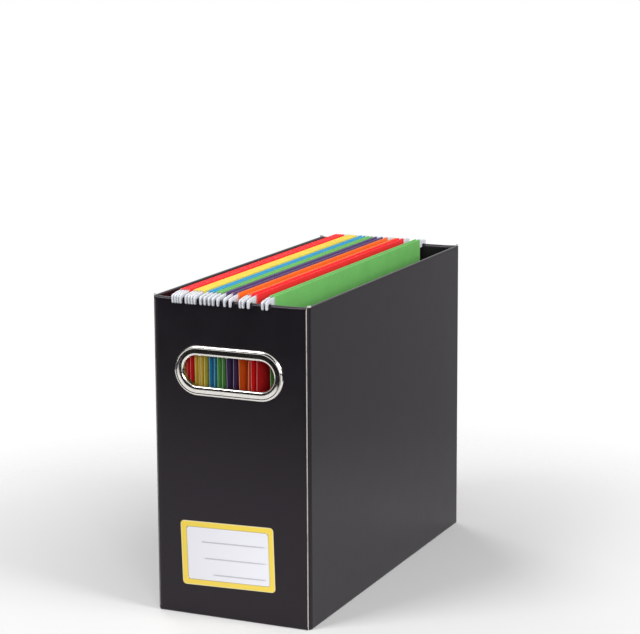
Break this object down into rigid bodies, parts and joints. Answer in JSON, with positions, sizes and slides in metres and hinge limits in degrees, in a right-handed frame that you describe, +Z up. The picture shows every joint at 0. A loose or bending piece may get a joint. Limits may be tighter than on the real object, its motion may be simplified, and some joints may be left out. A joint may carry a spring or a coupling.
{
  "type": "portable file box",
  "caption": "Open-topped upright file box of black laminated paperboard with metal-rimmed finger slots, a yellow-bordered label and hanging folders on its rims.",
  "frame": {"origin": "middle of the base's underside, on the surface that the box stands on", "axes": "+Z up; the front wall with the label faces -Y; +X to the right seen from the front"},
  "size_m": [0.133, 0.3216, 0.2566],
  "materials": {
    "black_board": "black laminated paperboard, satin, white lining inside, raw grey cut edges",
    "board_corners": "black laminate outside the fold, white lining on the tab",
    "ring_metal": "polished nickel-plated pressed steel",
    "clip_metal": "plain plated steel, dull",
    "label_paper": "matte self-adhesive paper, yellow border round a white panel with ruled lines",
    "coated_rod": "steel strip with white coated hooks, satin",
    "red_sheet": "heavy red card, matte",
    "yellow_sheet": "heavy yellow card, matte",
    "blue_sheet": "heavy blue card, matte",
    "green_sheet": "heavy green card, matte",
    "purple_sheet": "heavy purple card, matte",
    "orange_sheet": "heavy orange card, matte"
  },
  "bodies": {
    "box": {"base_panel": "black_board", "front_wall": "black_board", "rear_wall": "black_board", "left_wall": "black_board", "right_wall": "black_board", "front_rim_flap": "black_board", "rear_rim_flap": "black_board", "left_rim_flap": "black_board", "right_rim_flap": "black_board", "left_front_tab": "board_corners", "right_front_tab": "board_corners", "left_rear_tab": "board_corners", "right_rear_tab": "board_corners", "front_handle_ring": "ring_metal", "rear_handle_ring": "ring_metal", "front_clip_ring": "clip_metal", "rear_clip_ring": "clip_metal", "label": "label_paper"},
    "folder_1_left_half": {"folder_1_left_leaf": "red_sheet", "folder_1_left_rod": "coated_rod"},
    "folder_1_right_half": {"folder_1_right_leaf": "red_sheet", "folder_1_right_rod": "coated_rod"},
    "folder_2_left_half": {"folder_2_left_leaf": "red_sheet", "folder_2_left_rod": "coated_rod"},
    "folder_2_right_half": {"folder_2_right_leaf": "red_sheet", "folder_2_right_rod": "coated_rod"},
    "folder_3_left_half": {"folder_3_left_leaf": "yellow_sheet", "folder_3_left_rod": "coated_rod"},
    "folder_3_right_half": {"folder_3_right_leaf": "yellow_sheet", "folder_3_right_rod": "coated_rod"},
    "folder_4_left_half": {"folder_4_left_leaf": "yellow_sheet", "folder_4_left_rod": "coated_rod"},
    "folder_4_right_half": {"folder_4_right_leaf": "yellow_sheet", "folder_4_right_rod": "coated_rod"},
    "folder_5_left_half": {"folder_5_left_leaf": "blue_sheet", "folder_5_left_rod": "coated_rod"},
    "folder_5_right_half": {"folder_5_right_leaf": "blue_sheet", "folder_5_right_rod": "coated_rod"},
    "folder_6_left_half": {"folder_6_left_leaf": "green_sheet", "folder_6_left_rod": "coated_rod"},
    "folder_6_right_half": {"folder_6_right_leaf": "green_sheet", "folder_6_right_rod": "coated_rod"},
    "folder_7_left_half": {"folder_7_left_leaf": "purple_sheet", "folder_7_left_rod": "coated_rod"},
    "folder_7_right_half": {"folder_7_right_leaf": "purple_sheet", "folder_7_right_rod": "coated_rod"},
    "folder_8_left_half": {"folder_8_left_leaf": "orange_sheet", "folder_8_left_rod": "coated_rod"},
    "folder_8_right_half": {"folder_8_right_leaf": "orange_sheet", "folder_8_right_rod": "coated_rod"},
    "folder_9_left_half": {"folder_9_left_leaf": "red_sheet", "folder_9_left_rod": "coated_rod"},
    "folder_9_right_half": {"folder_9_right_leaf": "red_sheet", "folder_9_right_rod": "coated_rod"},
    "folder_10_left_half": {"folder_10_left_leaf": "green_sheet", "folder_10_left_rod": "coated_rod"},
    "folder_10_right_half": {"folder_10_right_leaf": "green_sheet", "folder_10_right_rod": "coated_rod"}
  },
  "joints": [
    {"name": "folder_1_lift", "type": "slide", "parent": "box", "child": "folder_1_left_half", "axis": [0, 0, 1], "range_m": [0, 0.25]},
    {"name": "folder_1_open", "type": "hinge", "parent": "folder_1_left_half", "child": "folder_1_right_half", "pos_m": [-0.04585, 0, 0.0216], "axis": [0, 1, 0], "range_deg": [-0.07, 0.04]},
    {"name": "folder_2_lift", "type": "slide", "parent": "box", "child": "folder_2_left_half", "axis": [0, 0, 1], "range_m": [0, 0.25]},
    {"name": "folder_2_open", "type": "hinge", "parent": "folder_2_left_half", "child": "folder_2_right_half", "pos_m": [-0.0414, 0, 0.0216], "axis": [0, 1, 0], "range_deg": [-0.04, 0.65]},
    {"name": "folder_3_lift", "type": "slide", "parent": "box", "child": "folder_3_left_half", "axis": [0, 0, 1], "range_m": [0, 0.25]},
    {"name": "folder_3_open", "type": "hinge", "parent": "folder_3_left_half", "child": "folder_3_right_half", "pos_m": [-0.0343, 0, 0.0216], "axis": [0, 1, 0], "range_deg": [-0.14, 0.09]},
    {"name": "folder_4_lift", "type": "slide", "parent": "box", "child": "folder_4_left_half", "axis": [0, 0, 1], "range_m": [0, 0.25]},
    {"name": "folder_4_open", "type": "hinge", "parent": "folder_4_left_half", "child": "folder_4_right_half", "pos_m": [-0.0294, 0, 0.0216], "axis": [0, 1, 0], "range_deg": [-0.09, 0.75]},
    {"name": "folder_5_lift", "type": "slide", "parent": "box", "child": "folder_5_left_half", "axis": [0, 0, 1], "range_m": [0, 0.25]},
    {"name": "folder_5_open", "type": "hinge", "parent": "folder_5_left_half", "child": "folder_5_right_half", "pos_m": [-0.02135, 0, 0.0216], "axis": [0, 1, 0], "range_deg": [-0.36, 0.39]},
    {"name": "folder_6_lift", "type": "slide", "parent": "box", "child": "folder_6_left_half", "axis": [0, 0, 1], "range_m": [0, 0.25]},
    {"name": "folder_6_open", "type": "hinge", "parent": "folder_6_left_half", "child": "folder_6_right_half", "pos_m": [-0.0143, 0, 0.0216], "axis": [0, 1, 0], "range_deg": [-0.34, 0.51]},
    {"name": "folder_7_lift", "type": "slide", "parent": "box", "child": "folder_7_left_half", "axis": [0, 0, 1], "range_m": [0, 0.25]},
    {"name": "folder_7_open", "type": "hinge", "parent": "folder_7_left_half", "child": "folder_7_right_half", "pos_m": [-0.00565, 0, 0.0216], "axis": [0, 1, 0], "range_deg": [-0.9, 0.65]},
    {"name": "folder_8_lift", "type": "slide", "parent": "box", "child": "folder_8_left_half", "axis": [0, 0, 1], "range_m": [0, 0.25]},
    {"name": "folder_8_open", "type": "hinge", "parent": "folder_8_left_half", "child": "folder_8_right_half", "pos_m": [0.0061, 0, 0.0216], "axis": [0, 1, 0], "range_deg": [-1.56, 0.09]},
    {"name": "folder_9_lift", "type": "slide", "parent": "box", "child": "folder_9_left_half", "axis": [0, 0, 1], "range_m": [0, 0.25]},
    {"name": "folder_9_open", "type": "hinge", "parent": "folder_9_left_half", "child": "folder_9_right_half", "pos_m": [0.0149, 0, 0.0216], "axis": [0, 1, 0], "range_deg": [-0.58, 2.43]},
    {"name": "folder_10_lift", "type": "slide", "parent": "box", "child": "folder_10_left_half", "axis": [0, 0, 1], "range_m": [0, 0.25]},
    {"name": "folder_10_open", "type": "hinge", "parent": "folder_10_left_half", "child": "folder_10_right_half", "pos_m": [0.0308, 0, 0.0216], "axis": [0, 1, 0], "range_deg": [-0.34, 2.79]}
  ]
}
